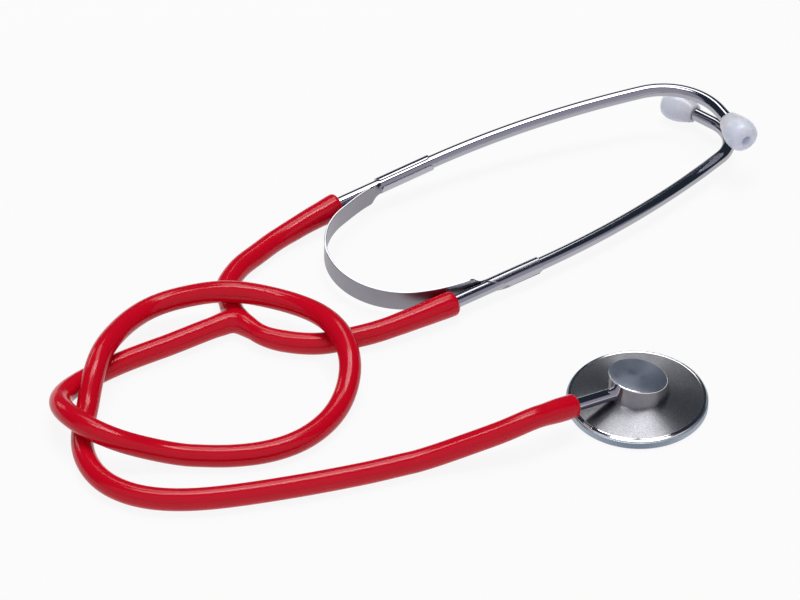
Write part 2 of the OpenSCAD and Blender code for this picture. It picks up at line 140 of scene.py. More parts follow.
class Route:
    """A smooth line through points, leaving and arriving in given directions.

    Args:
        points: the points in millimetres, in order.
        first: the direction at the first point.
        last: the direction at the last point.
    """

    def __init__(self, points: list, first: Array, last: Array) -> None:
        self.points = np.asarray(points, float)
        self.knots = runs_along(self.points)
        self.curvature = self._solve(unit(first), unit(last))

    def _solve(self, first: Array, last: Array) -> Array:
        """Finds the second derivatives of the clamped cubic spline."""
        p, h = self.points, np.diff(self.knots)
        n = len(p)
        a, b = np.zeros((n, n)), np.zeros((n, 3))
        slope = np.diff(p, axis=0) / h[:, None]
        a[0, 0], a[0, 1], b[0] = 2 * h[0], h[0], 6 * (slope[0] - first)
        a[-1, -1], a[-1, -2], b[-1] = 2 * h[-1], h[-1], 6 * (last - slope[-1])
        for i in range(1, n - 1):
            a[i, i - 1], a[i, i], a[i, i + 1] = h[i - 1], 2 * (h[i - 1] + h[i]), h[i]
            b[i] = 6 * (slope[i] - slope[i - 1])
        return np.linalg.solve(a, b)

    def sample(self, step: float) -> Array:
        """Returns points about one step apart along the whole line."""
        count = max(2, int(round(self.knots[-1] / step)) + 1)
        s = np.linspace(0, self.knots[-1], count)
        i = np.clip(np.searchsorted(self.knots, s, side="right") - 1, 0, len(self.points) - 2)
        h = (self.knots[i + 1] - self.knots[i])[:, None]
        u = (s - self.knots[i])[:, None]
        v = h - u
        p0, p1 = self.points[i], self.points[i + 1]
        m0, m1 = self.curvature[i], self.curvature[i + 1]
        return (
            m0 * v**3 / (6 * h)
            + m1 * u**3 / (6 * h)
            + (p0 / h - m0 * h / 6) * v
            + (p1 / h - m1 * h / 6) * u
        )


# Meshes


def add_object(name: str, data: bpy.types.ID) -> Piece:
    """Adds an object to the scene."""
    piece = bpy.data.objects.new(name, data)
    bpy.context.scene.collection.objects.link(piece)
    return piece


def add_materials(piece: Piece, *materials: bpy.types.Material) -> None:
    """Gives a piece its materials, in order."""
    for material in materials:
        piece.data.materials.append(material)


def add_piece(name: str, vertices: Array, faces: list, crease: float = 35.0) -> Piece:
    """Makes a closed mesh object with outward faces and smooth shading.

    Args:
        name: the piece's name.
        vertices: points in millimetres.
        faces: tuples of vertex numbers.
        crease: edges that turn more than this many degrees stay sharp.

    Returns:
        The new object, in metres, at the origin.
    """
    mesh = bpy.data.meshes.new(name)
    mesh.from_pydata((np.asarray(vertices, float) * MM).tolist(), [], faces)
    bm = bmesh.new()
    bm.from_mesh(mesh)
    bmesh.ops.remove_doubles(bm, verts=bm.verts, dist=1e-7)
    bmesh.ops.recalc_face_normals(bm, faces=bm.faces)
    for edge in bm.edges:
        edge.smooth = len(edge.link_faces) == 2 and edge.calc_face_angle() < math.radians(crease)
    for face in bm.faces:
        face.smooth = True
    bm.to_mesh(mesh)
    bm.free()
    return add_object(name, mesh)


def skin(name: str, loops: Array, capped: bool = True, crease: float = 35.0) -> Piece:
    """Joins closed loops of points into one tube-like shell.

    Args:
        name: the piece's name.
        loops: an array of rows by points by 3; each row is a closed loop.
        capped: whether the first and last loops are closed with a face.
        crease: edges that turn more than this many degrees stay sharp.

    Returns:
        The new object.
    """
    rows, count = loops.shape[:2]
    faces = []
    for row in range(0, (rows - 1) * count, count):
        for k in range(count):
            after = row + (k + 1) % count
            faces.append((row + k, after, after + count, row + count + k))
    if capped:
        faces.append(tuple(range(count - 1, -1, -1)))
        faces.append(tuple((rows - 1) * count + k for k in range(count)))
    return add_piece(name, loops.reshape(-1, 3), faces, crease)


def turned(
    name: str, outline: list, matrix: Matrix, sides: int, crease: float = 35.0
) -> Piece:
    """Turns an outline about the local X axis, as on a lathe.

    Args:
        name: the piece's name.
        outline: (x, radius) points in millimetres; an open outline ends on the
            axis, and a closed one repeats its first point.
        matrix: the place of the local frame, in millimetres.
        sides: the number of steps round the axis.
        crease: edges that turn more than this many degrees stay sharp.

    Returns:
        The new object.
    """
    angles = round_angles(sides)
    rings = np.array([[(x, r * math.cos(a), r * math.sin(a)) for a in angles] for x, r in outline])
    return skin(name, moved(rings, matrix), capped=False, crease=crease)


def tube(
    name: str, path: Array, radius: Array | float, ends: tuple | None = None
) -> Piece:
    """Sweeps a circle along a path without twist.

    Args:
        name: the piece's name.
        path: points in millimetres.
        radius: one radius, or one for each point.
        ends: the directions that the two end faces look along, if given.

    Returns:
        The new object.
    """
    path = np.asarray(path, float)
    along = np.gradient(path, axis=0)
    if ends:
        along[0], along[-1] = ends
    along /= np.linalg.norm(along, axis=1)[:, None]
    side = unit(np.cross((0, 0, 1) if abs(along[0][2]) < 0.9 else (1, 0, 0), along[0]))
    radii = np.broadcast_to(radius, len(path))
    angles = round_angles(TUBE_SIDES)
    loops = []
    for point, direction, r in zip(path, along, radii):
        side = unit(side - direction * np.dot(side, direction))
        other = np.cross(direction, side)
        round_it = np.outer(np.cos(angles), side) + np.outer(np.sin(angles), other)
        loops.append(point + r * round_it)
    return skin(name, np.array(loops), crease=60)


def plain_mesh(piece: Piece, modifier: bpy.types.Modifier) -> Piece:
    """Bakes a piece's modifier into its mesh and removes the modifier."""
    bpy.context.view_layer.update()
    graph = bpy.context.evaluated_depsgraph_get()
    baked = bpy.data.meshes.new_from_object(piece.evaluated_get(graph), depsgraph=graph)
    piece.modifiers.remove(modifier)
    piece.data = baked
    return piece


# Finishes


def opaque(colour: tuple) -> tuple:
    """Gives a colour a full alpha."""
    return (*colour, 1.0)


class Tree:
    """A short way to write nodes.

    Args:
        tree: the node tree that they are added to.
    """

    def __init__(self, tree: bpy.types.NodeTree) -> None:
        self.tree = tree

    def add(self, kind: str, inputs: dict | None = None, **settings: object) -> Node:
        """Adds a node.

        Args:
            kind: the node's type.
            inputs: for some of its inputs, by name or number, a plain value or
                the output that feeds it.
            settings: the node's own properties.

        Returns:
            The new node.
        """
        node = self.tree.nodes.new(kind)
        for key, value in settings.items():
            setattr(node, key, value)
        for key, value in (inputs or {}).items():
            if isinstance(value, Socket):
                self.tree.links.new(value, node.inputs[key])
            else:
                node.inputs[key].default_value = value
        return node

    def number(self, operation: str, *values: object) -> Socket:
        """Reckons with numbers."""
        return self.add("ShaderNodeMath", dict(enumerate(values)), operation=operation).outputs[0]

    def vector(self, operation: str, *values: object) -> Node:
        """Reckons with vectors."""
        return self.add("ShaderNodeVectorMath", dict(enumerate(values)), operation=operation)

    def fit(self, value: Socket, source: tuple, target: tuple) -> Socket:
        """Maps a value from one range to another."""
        ends = zip(("From Min", "From Max", "To Min", "To Max"), (*source, *target))
        return self.add("ShaderNodeMapRange", {"Value": value, **dict(ends)}).outputs["Result"]

    def mix(self, factor: Socket, first: tuple | Socket, second: tuple) -> Socket:
        """Mixes two colours."""
        inputs = {"Factor": factor, "A": first, "B": second}
        node = self.add("ShaderNodeMix", inputs, data_type="RGBA")
        return next(output for output in node.outputs if output.type == "RGBA")


class Graph(Tree):
    """A short way to write a material's nodes.

    Args:
        name: the material's name.
    """

    def __init__(self, name: str) -> None:
        self.material = bpy.data.materials.new(name)
        self.material.use_nodes = True
        super().__init__(self.material.node_tree)
        self.tree.nodes.clear()

    def place(self) -> Socket:
        """Gives the object's own coordinates."""
        return self.add("ShaderNodeTexCoord").outputs["Object"]

    def noise(self, vector: Socket, scale: float, detail: float = 3.0) -> Socket:
        """Adds a noise pattern and gives its value."""
        inputs = {"Vector": vector, "Scale": scale, "Detail": detail}
        return self.add("ShaderNodeTexNoise", inputs).outputs["Fac"]

    def bump(
        self, height: Socket, depth: float, strength: float = 1.0, under: Socket | None = None
    ) -> Socket:
        """Turns a height pattern into a normal.

        Args:
            height: the pattern.
            depth: its depth in metres.
            strength: how strongly it shows.
            under: the normal of a relief below it, if there is one.

        Returns:
            The normal.
        """
        inputs = {"Strength": strength, "Distance": depth, "Height": height}
        if under is not None:
            inputs["Normal"] = under
        return self.add("ShaderNodeBump", inputs).outputs["Normal"]

    def lathe_grain(self, amount: float) -> dict:
        """Gives the shader values of a grain that runs round the Z axis."""
        tangent = self.add("ShaderNodeTangent", direction_type="RADIAL", axis="Z")
        return {
            "Anisotropic": amount,
            "Anisotropic Rotation": QUARTER_TURN,
            "Tangent": tangent.outputs["Tangent"],
        }

    def show(self, shader: Node) -> bpy.types.Material:
        """Puts a shader on the material's surface and gives the material."""
        self.add("ShaderNodeOutputMaterial", {"Surface": shader.outputs[0]})
        return self.material


@dataclass(frozen=True)
class Finish:
    """What every finish has: two colours and a range of roughness, mixed by patterns."""

    name: str
    colour: tuple
    second: tuple
    roughness: tuple

    def patterns(self, graph: Graph, place: Socket) -> tuple:
        """Adds the finish's own nodes.

        Args:
            graph: the material's nodes.
            place: the object's own coordinates.

        Returns:
            The pattern that mixes the colours, the noise that varies the
            roughness, the normal, and what the shader's other inputs are set to.
        """
        raise NotImplementedError

    def material(self) -> bpy.types.Material:
        """Builds the material."""
        graph = Graph(self.name)
        tint, gloss, normal, values = self.patterns(graph, graph.place())
        inputs = {
            "Base Color": graph.mix(tint, opaque(self.colour), opaque(self.second)),
            "Roughness": graph.fit(gloss, NOISE_RANGE, self.roughness),
            "Normal": normal,
            **values,
        }
        return graph.show(graph.add("ShaderNodeBsdfPrincipled", inputs))


@dataclass(frozen=True)
class PolishedMetal(Finish):
    """Plated or polished metal with faint drawn marks and specks."""

    grain_scale: float = 900.0
    grain_depth: float = 2e-6
    anisotropic: float = 0.0

    def patterns(self, graph: Graph, place: Socket) -> tuple:
        """Adds broad cloudiness and fine marks."""
        broad = graph.noise(place, 60.0, 4.0)
        fine = graph.noise(place, self.grain_scale, 2.0)
        grain = graph.lathe_grain(self.anisotropic) if self.anisotropic else {}
        return broad, broad, graph.bump(fine, self.grain_depth), {"Metallic": 1.0, **grain}


@dataclass(frozen=True)
class TurnedMetal(Finish):
    """Metal faced on a lathe: rings about the head's axis with a fine speckle."""

    anisotropic: float = 0.5
    ring_pitch: float = 0.00016
    ring_depth: float = 1.5e-6
    speckle_scale: float = 2600.0
    speckle_depth: float = 4e-6

    def patterns(self, graph: Graph, place: Socket) -> tuple:
        """Adds the lathe's rings and the speckle."""
        flat = graph.vector("MULTIPLY", place, (1, 1, 0)).outputs["Vector"]
        reach = graph.vector("LENGTH", flat).outputs["Value"]
        phase = graph.number("MULTIPLY", reach, 2 * math.pi / self.ring_pitch)
        rings = graph.bump(graph.number("SINE", phase), self.ring_depth)
        speckle = graph.noise(place, self.speckle_scale, 1.0)
        relief = graph.bump(speckle, self.speckle_depth, under=rings)
        values = {"Metallic": 1.0, **graph.lathe_grain(self.anisotropic)}
        return speckle, graph.noise(place, 150.0), relief, values


@dataclass(frozen=True)
class GlossyVinyl(Finish):
    """Soft glossy vinyl, as a dipped or moulded hose has it."""

    ripple_depth: float = 2e-5

    def patterns(self, graph: Graph, place: Socket) -> tuple:
        """Adds a soft ripple."""
        broad = graph.noise(place, 90.0)
        values = {
            "Specular IOR Level": 0.22,
            "Subsurface Weight": 0.12,
            "Subsurface Scale": 0.002,
            "Subsurface Radius": (1.0, 0.15, 0.12),
            "Coat Weight": 0.06,
            "Coat Roughness": 0.08,
        }
        relief = graph.bump(graph.noise(place, 320.0, 2.0), self.ripple_depth, 0.5)
        return broad, broad, relief, values


@dataclass(frozen=True)
class MilkyPlastic(Finish):
    """Moulded plastic that lets some light in."""

    grain_depth: float = 6e-6

    def patterns(self, graph: Graph, place: Socket) -> tuple:
        """Adds a fine moulded grain."""
        broad = graph.noise(place, 200.0)
        values = {
            "Subsurface Weight": 0.8,
            "Subsurface Scale": 0.006,
            "Subsurface Radius": (0.8, 0.9, 1.0),
            "Specular IOR Level": 0.5,
            "Coat Weight": 0.2,
            "Coat Roughness": 0.15,
        }
        relief = graph.bump(graph.noise(place, 1500.0, 2.0), self.grain_depth)
        return broad, broad, relief, values


@dataclass(frozen=True)
class WovenDisc(Finish):
    """Thin resin disc with a glass weave just under its face."""

    thread: float = 0.0004
    weave_depth: float = 1e-5

    def patterns(self, graph: Graph, place: Socket) -> tuple:
        """Adds the weave."""
        inputs = {"Vector": place, "Scale": 1 / self.thread / 6, "Distortion": 0.4}
        waves = [
            graph.add("ShaderNodeTexWave", inputs, bands_direction=axis).outputs["Fac"]
            for axis in ("X", "Y")
        ]
        weave = graph.number("MULTIPLY", *waves)
        relief = graph.bump(weave, self.weave_depth)
        return weave, graph.noise(place, 300.0), relief, {"Specular IOR Level": 0.45}


class Palette:
    """The instrument's finishes, one for each material slot of the record."""

    def __init__(self) -> None:
        self.chrome = PolishedMetal(
            "chrome_plate", (0.42, 0.42, 0.46), (0.37, 0.37, 0.41), (0.06, 0.12), grain_depth=2e-7
        ).material()
        self.rolled = PolishedMetal(
            "rolled_sheet", (0.48, 0.47, 0.51), (0.42, 0.41, 0.45), (0.1, 0.16), 2200.0, 3e-7
        ).material()
        self.spring = PolishedMetal(
            "satin_spring", (0.3, 0.285, 0.32), (0.25, 0.24, 0.27), (0.28, 0.38), 2200.0, 6e-6
        ).material()
        self.turned = TurnedMetal(
            "turned_face", (0.4, 0.4, 0.42), (0.1, 0.1, 0.115), (0.28, 0.36), 0.95
        ).material()
        self.boss_top = TurnedMetal(
            "boss_face", (0.62, 0.68, 0.8), (0.34, 0.37, 0.45), (0.32, 0.42), 0.2
        ).material()
        self.boss_side = PolishedMetal(
            "boss_side", (0.9, 0.89, 0.87), (0.84, 0.83, 0.81), (0.08, 0.12), anisotropic=0.5
        ).material()
        # Polished rim and bead: the low roughness is real polish, and the colour, lighter than the
        # plate elsewhere, is a painted highlight.
        self.bright = PolishedMetal(
            "rim_painted_highlight", (0.8, 0.8, 0.8), (0.72, 0.72, 0.73), (0.05, 0.1)
        ).material()
        self.knurl = PolishedMetal(
            "knurled_edge", (0.42, 0.47, 0.54), (0.32, 0.36, 0.42), (0.25, 0.38), 1800.0, 4e-6
        ).material()
        # Near-black plate for the groove at the cone's foot: painted shade in the recess, not the
        # metal's own colour.
        self.dark = PolishedMetal(
            "groove_painted_shade", (0.05, 0.05, 0.055), (0.03, 0.03, 0.035), (0.4, 0.5)
        ).material()
        self.hose = GlossyVinyl(
            "red_vinyl", (0.71, 0.003, 0.02), (0.65, 0.002, 0.016), (0.12, 0.18)
        ).material()
        self.tip = MilkyPlastic(
            "milky_white", (0.82, 0.86, 0.97), (0.75, 0.8, 0.94), (0.22, 0.32)
        ).material()
        self.disc = WovenDisc(
            "diaphragm_resin", (0.78, 0.77, 0.7), (0.68, 0.67, 0.6), (0.3, 0.42)
        ).material()

    def dress_frame(self, nodes: dict) -> None:
        """Gives every CAD node a finish, also those that a piece replaces."""
        finishes = {
            "head_body": self.turned,
            "diaphragm": self.disc,
            "diaphragm_ring": self.knurl,
            "chest_stem": self.chrome,
            "spring": self.spring,
            "ear_tube": self.chrome,
            "ear_tip": self.tip,
        }
        for name, node in nodes.items():
            finish = next((m for key, m in finishes.items() if key in name), self.hose)
            node.data.materials.clear()
            add_materials(node, finish)


def dress(
    piece: Piece, material: bpy.types.Material, body: str | None = None
) -> None:
    """Gives a piece its finish, its slot and, where it is rigid, its body."""
    if not piece.data.materials:
        add_materials(piece, material)
    if body:
        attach(piece, body)
    LOG.info("%s: %d faces", piece.name, len(piece.data.polygons))


# The hose


@dataclass
class Hose:
    """The moulded red hose: its fork, its free stretches and its three ends."""

    palette: Palette
    radius: float = 3.8
    step: float = 1.2
    fork_ease: float = 10.0
    end_ease: float = 8.0
    lip: float = 1.5
    grip_depth: float = 5.0
    overlap: float = 0.6
    stem_r: float = 2.2
    stem_heading: float = 211.0
    stem_rise: float = 6.0
    stem_z: float = 7.4
    stem_free: float = 24.9
    head_end_len: float = 14.0
    head_end_body: float = 0.42
    head_end_r: float = 4.15
    ear_end_r: float = 3.96
    fork_at: tuple = (-136.4, 39.0, 4.3)
    fork_arm: float = 11.0
    fork_r: float = 4.1
    fork_fillet: float = 1.8
    fork_bound: float = 20.0
    fork_halvings: int = 30
    fork_headings: tuple = (211.0, 105.0, 317.0)
    fork_arm_r: tuple = (3.8, 3.8, 3.5)
    head_route: tuple = (
        (-160, 25.1, 3.8), (-172, 18.1, 3.8), (-182, 11, 3.8), (-189.3, 3.5, 4.8),
        (-193.6, -7, 7.6), (-191, -17.5, 11), (-183.5, -26, 12), (-173.5, -30.5, 10.2),
        (-163, -30.6, 6.4), (-150, -31, 3.8), (-137, -31.4, 3.8), (-124.5, -29.3, 3.8),
        (-113, -23.5, 3.8), (-104, -13.5, 3.8), (-98.5, -1.5, 5.2), (-96.8, 9.5, 9.2),
        (-99.5, 20.5, 11.9), (-105.5, 30.5, 11.8), (-114, 38.2, 10.8), (-125, 43, 10.8),
        (-139, 44.4, 12.1), (-152, 44.2, 10.4), (-163, 40.8, 9.2), (-171, 33, 9.8),
        (-176.8, 22.5, 11.2), (-181, 11, 11.9), (-183.3, 1, 9.3), (-184.8, -9, 5),
        (-185.8, -19, 3.8), (-184.5, -31, 3.8), (-177.5, -43.8, 3.8), (-166.5, -50.8, 3.8),
        (-152, -53, 3.8), (-133, -50.7, 3.8), (-110, -45.3, 3.8), (-90, -39.5, 3.8),
        (-73, -33.6, 4), (-57, -29.2, 7.3), (-43, -25, 10.6),
    )
    left_route: tuple = (
        (-140.2, 55.8, 3.8), (-138.5, 62, 3.8), (-135.1, 68.6, 3.8),
        (-130.4, 74.5, 3.8), (-124.6, 81.4, 3.9),
    )
    right_route: tuple = (
        (-121, 28.2, 3.8), (-114, 26.7, 3.8), (-106, 26.7, 3.8),
        (-98, 28.7, 4), (-88, 32.2, 4.3),
    )

    @property
    def stem_reach(self) -> float:
        """The stem's free length, along its slope."""
        return self.stem_free / math.cos(math.radians(self.stem_rise))

    def stem_point(self, reach: float) -> Array:
        """A point on the stem's axis, at a distance along it."""
        return np.array([0, 0, self.stem_z]) + reach * heading(self.stem_heading, self.stem_rise)

    def stem_frame(self, reach: float) -> Matrix:
        """The frame at a point of the stem, with X along it, away from the head."""
        return (
            Matrix.Translation(self.stem_point(reach))
            @ spin(self.stem_heading, "Z")
            @ spin(-self.stem_rise, "Y")
        )

    def fork_end(self, number: int) -> Array:
        """The end of one of the fork's three arms."""
        return np.array(self.fork_at) + self.fork_arm * heading(self.fork_headings[number])

    def make_free(
        self,
        name: str,
        number: int,
        route: tuple,
        end: Array,
        last: Array,
        swell: float = 0.0,
    ) -> tuple:
        """Makes one free stretch of hose from an arm of the fork.

        Args:
            name: the piece's name.
            number: the fork's arm that it starts from.
            route: the points between its two ends.
            end: where it ends.
            last: the direction in which it arrives there.
            swell: how much thicker it is at its end.

        Returns:
            The object, and its path in millimetres.
        """
        first = heading(self.fork_headings[number])
        line = Route([self.fork_end(number), *route, end], first, last)
        path = line.sample(self.step)
        path[:, 2] = np.maximum(path[:, 2], self.radius)
        run = runs_along(path)
        near_fork = 1 - smooth_step(run, 0, self.fork_ease)
        near_end = 1 - smooth_step(run[-1] - run, 0, self.end_ease)
        start = self.fork_arm_r[number] - self.radius
        radii = self.radius + start * near_fork + swell * near_end
        return tube(name, path, radii, ends=(first, last)), path

    def make_head_hose(self) -> None:
        """Makes the long hose that loops over itself and ends on the stem."""
        last = -heading(self.stem_heading, self.stem_rise)
        end = self.stem_point(self.stem_reach + self.head_end_len)
        piece, path = self.make_free("hose_to_head", 0, self.head_route, end, last)
        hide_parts("chest_hose")
        dress(piece, self.palette.hose, ROOT_BODY)

    def make_branch(self, side: Side, end: Array, last: Array) -> None:
        """Makes the branch to one ear tube.

        Args:
            side: the branch's side.
            end: where it meets its thick end.
            last: the direction in which it arrives there.
        """
        number, route = (1, self.left_route) if side is Side.LEFT else (2, self.right_route)
        swell = self.ear_end_r - self.radius
        piece, path = self.make_free(f"hose_branch_{side.word}", number, route, end, last, swell)
        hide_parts(f"{side.word}_branch_hose")
        dress(piece, self.palette.hose)
        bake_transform(piece)

    def make_head_end(self) -> None:
        """Makes the thick moulded end that grips the stem, with a rounded mouth."""
        length, bore_r = self.head_end_len, self.stem_r
        body = length * self.head_end_body
        outline = [(-self.grip_depth, bore_r), (-0.5, bore_r), (-0.1, bore_r + 0.25)]
        outline += [(-run, r) for run, r in lip_arc(self.lip, self.head_end_r)]
        for run in np.linspace(body, length, 16):
            drop = float(smooth_step(run, body, length))
            outline.append((-run, self.head_end_r + (self.radius - self.head_end_r) * drop))
        back = -length - self.overlap
        outline += [(back, self.radius - 0.05), (back, bore_r), (-self.grip_depth, bore_r)]
        matrix = self.stem_frame(self.stem_reach) @ spin(180, "Z")
        end = turned("hose_end_head", outline, matrix, 64, 50)
        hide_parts("chest_hose_cuff")
        dress(end, self.palette.hose, ROOT_BODY)

    def make_ear_end(self, arm: Arm) -> Piece:
        """Makes the thick end that grips an ear tube and bends away behind it.

        Args:
            arm: the arm that it belongs to.

        Returns:
            The new object.
        """
        bore_r, cuff_r = arm.tube_r + 0.04, arm.cuff_r
        rows = [(self.grip_depth, bore_r, True), (0.5, bore_r, True), (0.1, bore_r + 0.25, True)]
        rows += [(run, r, False) for run, r in lip_arc(self.lip, cuff_r)]
        for run in np.linspace(self.lip + 1, arm.cuff_len, 22):
            drop = float(smooth_step(run, 3, arm.cuff_len + 1))
            rows.append((run, cuff_r + (self.ear_end_r - cuff_r) * drop, False))
        rows.append((arm.cuff_len + self.overlap, self.ear_end_r - 0.06, False))
        angles, up, loops = round_angles(64), np.array([0.0, 0.0, 1.0]), []
        for run, r, straight in rows:
            centre, ahead = arm.cuff_middle(0.0 if straight else run)
            centre[0] = -arm.cuff_mouth - run
            across = np.array([-ahead[1], ahead[0], 0.0])
            loops.append([centre + r * (math.cos(a) * across + math.sin(a) * up) for a in angles])
        return skin(f"hose_end_{arm.side.word}", moved(np.array(loops), arm.matrix()), crease=50)

    def fork_distance(self, points: Array) -> Array:
        """Signed distance to the fork's surface, a flat web with round edges."""
        flat, total = points[:, :2], None
        for angle, end_r in zip(self.fork_headings, self.fork_arm_r):
            direction = heading(angle)[:2]
            run = np.clip(flat @ direction, 0, self.fork_arm + 0.3)
            taper = smooth_step(run, 3, self.fork_arm - 1)
            radius = self.fork_r + (end_r - 0.02 - self.fork_r) * taper
            distance = np.linalg.norm(flat - run[:, None] * direction, axis=1) - radius
            if total is None:
                total, nearest, depth = distance, distance, radius
            else:
                depth = np.where(distance < nearest, radius, depth)
                nearest = np.minimum(nearest, distance)
                overlap = np.maximum(self.fork_fillet - np.abs(total - distance), 0)
                total = np.minimum(total, distance) - overlap**2 / (4 * self.fork_fillet)
        return np.hypot(np.maximum(total + depth, 0), points[:, 2]) - depth

    def make_fork(self) -> None:
        """Makes the moulded fork as one skin, by walking out from its middle."""
        bm = bmesh.new()
        bmesh.ops.create_icosphere(bm, subdivisions=6, radius=1.0)
        rays = np.array([v.co[:] for v in bm.verts])
        faces = [tuple(v.index for v in f.verts) for f in bm.faces]
        bm.free()
        low, high = np.zeros(len(rays)), np.full(len(rays), self.fork_bound)
        for _ in range(self.fork_halvings):
            middle = (low + high) / 2
            inside = self.fork_distance(rays * middle[:, None]) < 0
            low, high = np.where(inside, middle, low), np.where(inside, high, middle)
        points = rays * low[:, None]
        piece = add_piece("hose_fork", points + np.array(self.fork_at), faces, 60)
        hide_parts("hose_junction")
        dress(piece, self.palette.hose, ROOT_BODY)

    def make(self, arms: dict) -> None:
        """Makes the whole hose.

        Args:
            arms: the two arms of the headset by side.
        """
        self.make_head_hose()
        for side, arm in arms.items():
            centre, ahead = arm.cuff_middle(arm.cuff_len)
            place = arm.matrix()
            end, behind = moved(centre, place), moved(centre + ahead, place)
            self.make_branch(side, end, behind - end)
            end = self.make_ear_end(arm)
            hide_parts(f"{side.word}_hose_cuff")
            dress(end, self.palette.hose, f"{side.word}_arm")
        self.make_head_end()
        self.make_fork()


# The headset


@dataclass
class Arm:
    """One ear tube's place and shape. X runs along it, Y towards the other tube."""

    side: Side
    datum_z: float
    rise: float
    roll: float
    toe_in: float
    straight: float
    long_r: float
    long_turn: float
    short_r: float
    bend_turn: float
    end_len: float
    cuff_mouth: float
    cuff_shift: float
    cuff_bend: float
    middle: tuple = (-70.3, 80.5, 0.0)
    headset_heading: float = 31.7
    half_gap: float = 32.55
    stagger: float = 2.4
    tube_r: float = 2.35
    tail: float = 25.0
    link: float = 1.7
    tip_grip: float = 7.0
    cuff_len: float = 18.0
    cuff_r: float = 4.45

    def matrix(self) -> Matrix:
        """The arm's frame in the row frame, in millimetres."""
        s = self.side.value
        return (
            Matrix.Translation(self.middle)
            @ spin(self.headset_heading, "Z")
            @ Matrix.Translation((-s * self.stagger, s * self.half_gap, self.datum_z))
            @ Matrix.Diagonal((1, -s, 1, 1))
            @ spin(self.toe_in, "Z")
            @ spin(-self.rise, "Y")
            @ spin(self.roll, "X")
        )

    def cuff_middle(self, run: float) -> tuple:
        """Follows the middle line of the hose's thick end, which bends inwards.

        Args:
            run: the distance behind its mouth.

        Returns:
            The point and the direction towards the mouth, in the arm's frame.
        """
        reach = 8.0
        t = min(max(run / reach, 0.0), 1.0)
        y = self.cuff_shift * t * t * (3 - 2 * t) + self.cuff_bend * run**2
        slope = self.cuff_shift * 6 * t * (1 - t) / reach + 2 * self.cuff_bend * run
        return np.array([-self.cuff_mouth - run, y, 0.0]), unit(np.array([1.0, -slope, 0.0]))

    def course(self, grip: float) -> tuple:
        """Follows the tube's centreline in the arm's own plane.

        Args:
            grip: how far the line goes on past the place where the tip starts.

        Returns:
            The points, and the direction at the end as an angle in radians.
        """
        points = [(x, 0.0) for x in np.linspace(-self.tail, self.straight, 26)]
        x, y, turn = self.straight, 0.0, 0.0
        for radius, degrees, ahead in (
            (self.long_r, self.long_turn, self.link),
            (self.short_r, self.bend_turn, self.end_len + grip),
        ):
            steps = max(24, int(degrees))
            for k in range(1, steps + 1):
                a = turn + math.radians(degrees) * k / steps
                across, up = math.sin(a) - math.sin(turn), math.cos(turn) - math.cos(a)
                points.append((x + radius * across, y + radius * up))
            (x, y), turn = points[-1], turn + math.radians(degrees)
            for run in np.linspace(0, ahead, 5)[1:]:
                points.append((x + run * math.cos(turn), y + run * math.sin(turn)))
            x, y = points[-1]
        return np.array([(px, py, 0.0) for px, py in points]), turn

    def tip_frame(self) -> Matrix:
        """The frame where the ear tip starts, with X out along the tube's end."""
        points, turn = self.course(0.0)
        return self.matrix() @ Matrix.Translation(points[-1]) @ Matrix.Rotation(turn, 4, "Z")


@dataclass
class EarTube:
    """A bent, plated ear tube and its tip."""

    arm: Arm
    palette: Palette
    hole_r: float = 1.65
    bore_r: float = 2.39
    end_play: float = 0.05
    belly: tuple = (
        (0.2, 3.4), (1.4, 3.95), (3.3, 4.6), (5.0, 5.2), (6.6, 5.62), (8.3, 5.83), (9.9, 5.8),
        (11.2, 5.52), (12.15, 5.0), (12.75, 4.25),
    )
    nose: tuple = ((13.05, 3.55), (13.19, 2.9), (13.2, 2.35), (13.12, 1.95), (12.85, 1.72))

    def make_tube(self) -> None:
        """Makes the tube as a sweep."""
        arm = self.arm
        points, _ = arm.course(arm.tip_grip - self.end_play)
        piece = tube(f"ear_pipe_{arm.side.word}", moved(points, arm.matrix()), arm.tube_r)
        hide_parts(f"{arm.side.word}_ear_tube")
        dress(piece, self.palette.chrome, f"{arm.side.word}_tube")

    def make_tip(self) -> None:
        """Turns the egg-shaped tip with its sound hole."""
        knots = [(x, r, 0.0) for x, r in self.belly]
        belly = Route(knots, (0.85, 0.53, 0), (0.5, -0.87, 0)).sample(0.35)
        shoulder, bore_r = self.arm.tip_grip, self.bore_r
        outline = [(shoulder, bore_r), (0.0, bore_r), (0.0, 3.1), (0.05, 3.25)]
        outline += [(x, r) for x, r, _ in belly]
        outline += [*self.nose, (12.2, self.hole_r), (shoulder, self.hole_r), (shoulder, bore_r)]
        side = self.arm.side
        piece = turned(f"ear_piece_{side.word}", outline, self.arm.tip_frame(), 72, 50)
        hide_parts(f"{side.word}_ear_tip")
        dress(piece, self.palette.tip, f"{side.word}_tip")


